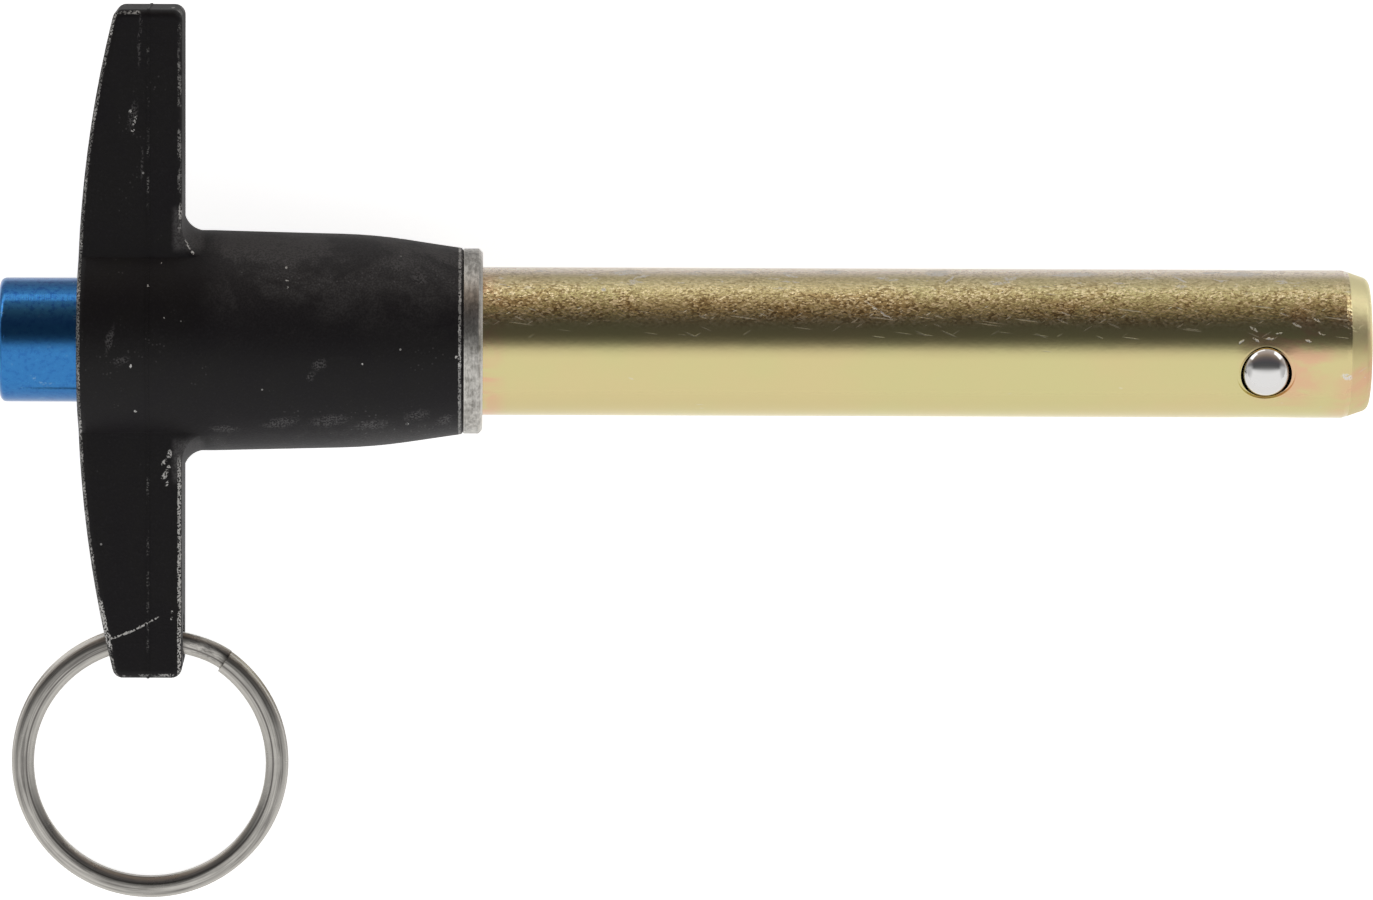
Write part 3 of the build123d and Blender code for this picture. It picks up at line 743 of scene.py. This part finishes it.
def polished_ball(finish):
    """Polished bearing steel with a few fine marks."""
    material, shader = new_finish("polished_ball")
    where = shader.place()
    marks = shader.noise(where, 0.3 * MM, detail=3)
    shader.finish(
        Base_Color=(*finish.ball_steel, 1),
        Metallic=1.0,
        Roughness=0.05 + 0.06 * marks.ramp(0.5, 0.7),
        Normal=shader.bump(marks, 0.0012 * MM),
    )
    return material


def coil_return_spring(finish):
    """A merged copy of the return spring that rides with the grip in place of the part."""
    low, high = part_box("return_spring")
    stroke = joint_named("button_press")["range_m"][1]
    wire = bmesh.new()
    wire.from_mesh(frame["nodes"]["return_spring"].data)
    bmesh.ops.remove_doubles(wire, verts=wire.verts, dist=MERGE_DISTANCE)
    mesh = bpy.data.meshes.new("coiled_wire")
    wire.to_mesh(mesh)
    wire.free()
    coil = bpy.data.objects.new("coiled_wire", mesh)
    bpy.context.scene.collection.objects.link(coil)
    mesh.materials.clear()
    mesh.materials.append(turned_steel("spring_steel", finish.coil_steel, finish.coil_dull, 0.3, 0.3 * MM))
    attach(coil, "grip")
    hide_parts("return_spring")
    1 - stroke / (high.x - low.x)
    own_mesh(coil)


# --- Studio -------------------------------------------------------------------------------------

# The tent's colour by angle round the pin's axis, in degrees from overhead: + towards the ring's side
TENT = (
    (-180, (0.85, 0.84, 0.82)),
    (-140, (0.85, 0.84, 0.82)),
    (-115, (0.55, 0.50, 0.49)),
    (-101, (0.60, 0.57, 0.55)),
    (-87, (0.86, 0.79, 0.75)),
    (-75, (0.54, 0.49, 0.45)),
    (-63, (0.45, 0.37, 0.32)),
    (-53, (0.29, 0.23, 0.18)),
    (-43, (0.17, 0.145, 0.13)),
    (-33, (0.115, 0.10, 0.105)),
    (-20, (0.085, 0.085, 0.09)),
    (-6, (0.10, 0.10, 0.10)),
    (2, (0.17, 0.17, 0.17)),
    (8, (0.33, 0.33, 0.33)),
    (14, (0.64, 0.64, 0.64)),
    (20, (0.86, 0.86, 0.86)),
    (30, (1, 1, 1)),
    (180, (1, 1, 1)),
)
TENT_ENDS = (0.6, 0.6, 0.6)
LAMPS = (1.6, 1.6, 1.58)
HANDLE_LAMP = (1.35, 1.33, 1.3)
FLOOR_GREY = (0.8, 0.8, 0.8)
WHITE = (1, 1, 1)


def hang_tent():
    """The world: a white tent, dark overhead and bright on the ring's side, with lamps beyond."""
    world = bpy.data.worlds.new("tent")
    world.use_nodes = True
    bpy.context.scene.world = world
    shader = Shader(world.node_tree)
    way = shader.node("ShaderNodeTexCoord", {}, {}, "Generated")
    x, y, z = shader.split(way)
    turn = (0 - y).angle_from(z) / (2 * math.pi) + 0.5
    stops = [((degrees + 180) / 360, colour) for degrees, colour in TENT]
    light = shader.node("ShaderNodeValToRGB", {"stops": stops}, {0: turn})
    ends = abs(x).ramp(0.78, 0.96) * (0.3 + 0.7 * y.ramp(0.2, -0.05))
    light = shader.mix(ends, light, (*TENT_ENDS, 1))
    lamps = abs(x).band(0.52, 0.8, 0.08) * y.ramp(0.4, 0.55) * z.band(-0.1, 0.34, 0.08)
    light = shader.mix(lamps, light, (*LAMPS, 1))
    handle_lamp = x.band(-0.5, -0.04, 0.02) * y.ramp(0.6, 0.8) * z.band(-0.06, 0.24, 0.06)
    light = shader.mix(handle_lamp, light, (*HANDLE_LAMP, 1))
    light = shader.mix(shader.light_path("Is Camera Ray"), light, (*WHITE, 1))
    sky = shader.node("ShaderNodeBackground", {}, {"Color": light, "Strength": 1.0})
    shader.node("ShaderNodeOutputWorld", {}, {"Surface": sky})


def lay_floor(size):
    """A white floor that keeps the pin's shadow and shows pale to the camera and in the metal."""
    grid = bmesh.new()
    bmesh.ops.create_grid(grid, x_segments=1, y_segments=1, size=size / 2)
    bmesh.ops.translate(grid, vec=(0, 0, FLOOR_Z), verts=grid.verts)
    mesh = bpy.data.meshes.new("floor")
    grid.to_mesh(mesh)
    grid.free()
    floor = bpy.data.objects.new("floor", mesh)
    bpy.context.scene.collection.objects.link(floor)
    material, shader = new_finish("white_floor")
    white = shader.node("ShaderNodeBsdfDiffuse", {}, {"Color": (*FLOOR_GREY, 1)})
    y = shader.split(shader.place())[1]
    ring_side = 0.45 * y.ramp(4 * MM, -12 * MM)
    close = 0.45 * y.ramp(19 * MM, 11 * MM)
    far_off = 0.2 * y.ramp(30 * MM, 120 * MM)
    mirrored = shader.light_path("Is Glossy Ray") * (0.12 + ring_side.most(close) + far_off)
    glow = shader.light_path("Is Camera Ray") * 0.84 + mirrored
    glow = glow + 0.5 * shader.light_path("Is Transmission Ray")
    glow = shader.node("ShaderNodeEmission", {}, {"Color": (*WHITE, 1), "Strength": glow})
    both = shader.node("ShaderNodeAddShader", {}, {0: white, 1: glow})
    shader.node("ShaderNodeOutputMaterial", {"target": "ALL"}, {"Surface": both})
    mesh.materials.append(material)


def set_camera(studio):
    """A camera nearly overhead, leaning a little towards the ring's side and the button."""
    data = bpy.data.cameras.new("camera")
    data.sensor_width = SENSOR_WIDTH
    data.lens = SENSOR_WIDTH * studio.camera_distance / studio.view_width
    data.clip_end = VIEW_END
    camera = bpy.data.objects.new("camera", data)
    lean = Euler((0, -studio.camera_yaw, 0)).to_matrix() @ Euler((studio.camera_pitch, 0, 0)).to_matrix()
    turned = lean @ Euler((0, 0, studio.camera_roll)).to_matrix()
    camera.rotation_euler = turned.to_euler()
    camera.location = VIEW_TARGET + turned @ Vector((0, 0, studio.camera_distance))
    bpy.context.scene.collection.objects.link(camera)
    bpy.context.scene.camera = camera
    bpy.context.scene.view_settings.view_transform = "Standard"


# --- Operators ----------------------------------------------------------------------------------


class PinOperator:
    """What the pin's operators share."""

    bl_options = {"REGISTER", "UNDO"}

    def execute(self, context):
        self.make(context.scene.pin_finishes, context.scene.pin_studio)
        return {"FINISHED"}


class PIN_OT_stage(PinOperator, bpy.types.Operator):
    """Set the camera, the white floor and the soft tent of light"""

    bl_idname = "pin.stage"
    bl_label = "Stage"

    def make(self, finish, studio):
        set_camera(studio)
        hang_tent()
        lay_floor(studio.floor_size)


class PIN_OT_handle(PinOperator, bpy.types.Operator):
    """Coat the cast handle black, wear it and paint light onto its edges"""

    bl_idname = "pin.handle"
    bl_label = "Handle"

    def make(self, finish, studio):
        give("handle", black_coating(finish))


class PIN_OT_collar(PinOperator, bpy.types.Operator):
    """Finish the turned steel collar"""

    bl_idname = "pin.collar"
    bl_label = "Collar"

    def make(self, finish, studio):
        steel = turned_steel("collar_steel", finish.collar_steel, finish.collar_dull, 0.22, 0.2 * MM)
        give("collar", steel)


class PIN_OT_shank(PinOperator, bpy.types.Operator):
    """Plate the shank yellow"""

    bl_idname = "pin.shank"
    bl_label = "Shank"

    def make(self, finish, studio):
        give("shank", yellow_plating(finish))


class PIN_OT_plunger(PinOperator, bpy.types.Operator):
    """Anodise the button and finish the spindle and spring behind it"""

    bl_idname = "pin.plunger"
    bl_label = "Button, spindle and spring"

    def make(self, finish, studio):
        give("button", blue_anodising(finish))
        steel = turned_steel("spindle_steel", finish.spindle_steel, finish.spindle_dull, 0.25, 0.3 * MM)
        give("spindle", steel)
        coil_return_spring(finish)


class PIN_OT_balls(PinOperator, bpy.types.Operator):
    """Polish the locking balls"""

    bl_idname = "pin.balls"
    bl_label = "Locking balls"

    def make(self, finish, studio):
        steel = polished_ball(finish)
        give("ball_near", steel)
        give("ball_far", steel)


class PIN_OT_ring(PinOperator, bpy.types.Operator):
    """Finish the split ring"""

    bl_idname = "pin.ring"
    bl_label = "Split ring"

    def make(self, finish, studio):
        give("split_ring", spring_steel(finish))


PIN_OPERATORS = (
    PIN_OT_stage,
    PIN_OT_handle,
    PIN_OT_collar,
    PIN_OT_shank,
    PIN_OT_plunger,
    PIN_OT_balls,
    PIN_OT_ring,
)


class PIN_PT_panel(bpy.types.Panel):
    """The pin's finishes and stage"""

    bl_label = "Lock Pin"
    bl_idname = "PIN_PT_panel"
    bl_space_type = "VIEW_3D"
    bl_region_type = "UI"
    bl_category = "Lock Pin"

    def draw(self, context):
        column = self.layout.column(align=True)
        for operator in PIN_OPERATORS:
            column.operator(operator.bl_idname)
        for group in (context.scene.pin_finishes, context.scene.pin_studio):
            box = self.layout.box()
            for name in group.__annotations__:
                box.prop(group, name)


CLASSES = (PinFinishes, PinStudio, *PIN_OPERATORS, PIN_PT_panel)


def register():
    for item in CLASSES:
        bpy.utils.register_class(item)
    bpy.types.Scene.pin_finishes = bpy.props.PointerProperty(type=PinFinishes)
    bpy.types.Scene.pin_studio = bpy.props.PointerProperty(type=PinStudio)


def unregister():
    del bpy.types.Scene.pin_studio
    del bpy.types.Scene.pin_finishes
    for item in reversed(CLASSES):
        bpy.utils.unregister_class(item)


def main():
    """Makes everything."""
    register()
    for operator in PIN_OPERATORS:
        group, name = operator.bl_idname.split(".")
        getattr(getattr(bpy.ops, group), name)()


if __name__ == "__main__":
    main()
